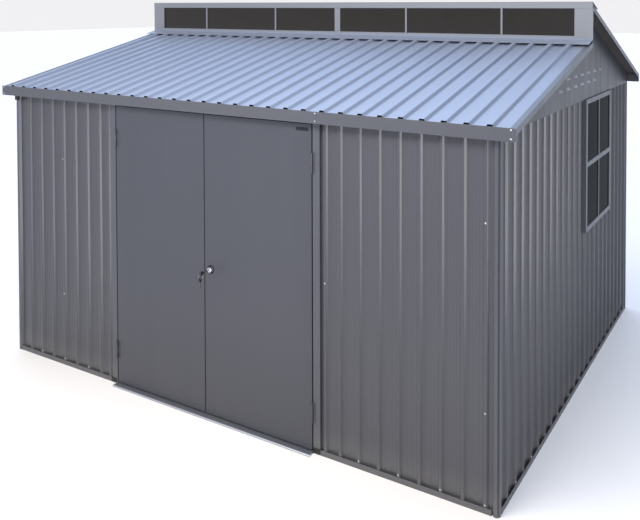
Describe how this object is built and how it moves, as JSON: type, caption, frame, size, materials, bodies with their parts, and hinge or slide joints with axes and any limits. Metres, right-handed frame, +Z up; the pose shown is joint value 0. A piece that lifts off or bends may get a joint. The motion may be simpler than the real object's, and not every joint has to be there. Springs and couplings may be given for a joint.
{
  "type": "garden storage shed",
  "caption": "Ribbed sheet-steel garden shed with a roof window strip between two roof slopes, double hinged doors and a four-pane side window.",
  "frame": {"origin": "middle of the footprint of the whole shed, on the ground", "axes": "+X to the right as one faces the doors, +Y to the back, +Z up"},
  "size_m": [3.62, 2.778, 2.3413],
  "materials": {
    "wall_steel": "satin grey coating",
    "door_steel": "satin grey coating",
    "trim_steel": "satin grey coating",
    "roof_steel": "pale glossy coating",
    "strip_trim": "pale satin coating",
    "frame_steel": "galvanised",
    "hinge_steel": "satin",
    "bright_steel": "galvanised, bright",
    "tinted_pane": "tinted, see-through",
    "window_pane": "clear, dark behind",
    "black_plastic": "moulded",
    "lock_chrome": "polished"
  },
  "bodies": {
    "shed": {"base_front": "trim_steel", "base_back": "trim_steel", "base_sides": "trim_steel", "corner_posts": "trim_steel", "front_wall": "wall_steel", "back_wall": "wall_steel", "left_wall": "wall_steel", "right_wall_sides": "wall_steel", "right_wall_below": "wall_steel", "gable_left": "trim_steel", "gable_right": "trim_steel", "wall_girts": "frame_steel", "top_rails": "frame_steel", "rafters_front": "frame_steel", "rafters_rear": "frame_steel", "roof_beams": "frame_steel", "roof_front": "roof_steel", "roof_rear": "roof_steel", "verge_trims": "trim_steel", "front_fascia": "trim_steel", "rear_fascia": "trim_steel", "strip_flashing": "roof_steel", "strip_sill": "strip_trim", "strip_posts": "strip_trim", "strip_bars": "strip_trim", "strip_head": "strip_trim", "strip_glass": "tinted_pane", "window_frame": "trim_steel", "window_glass": "window_pane", "door_jambs": "trim_steel", "door_header": "trim_steel", "threshold": "bright_steel", "end_caps": "black_plastic", "hinge_fixed": "hinge_steel"},
    "left_leaf": {"door_left": "door_steel", "stiffeners_left": "frame_steel", "hinge_left": "hinge_steel"},
    "right_leaf": {"door_right": "door_steel", "stiffeners_right": "frame_steel", "hinge_right": "hinge_steel", "lock": "lock_chrome", "keys": "black_plastic", "badge": "black_plastic"}
  },
  "joints": [
    {"name": "left_door", "type": "hinge", "parent": "shed", "child": "left_leaf", "pos_m": [-0.757, -1.308, 0.212], "axis": [0, 0, -1], "range_deg": [0, 105]},
    {"name": "right_door", "type": "hinge", "parent": "shed", "child": "right_leaf", "pos_m": [0.7, -1.308, 0.212], "axis": [0, 0, 1], "range_deg": [0, 105]}
  ]
}
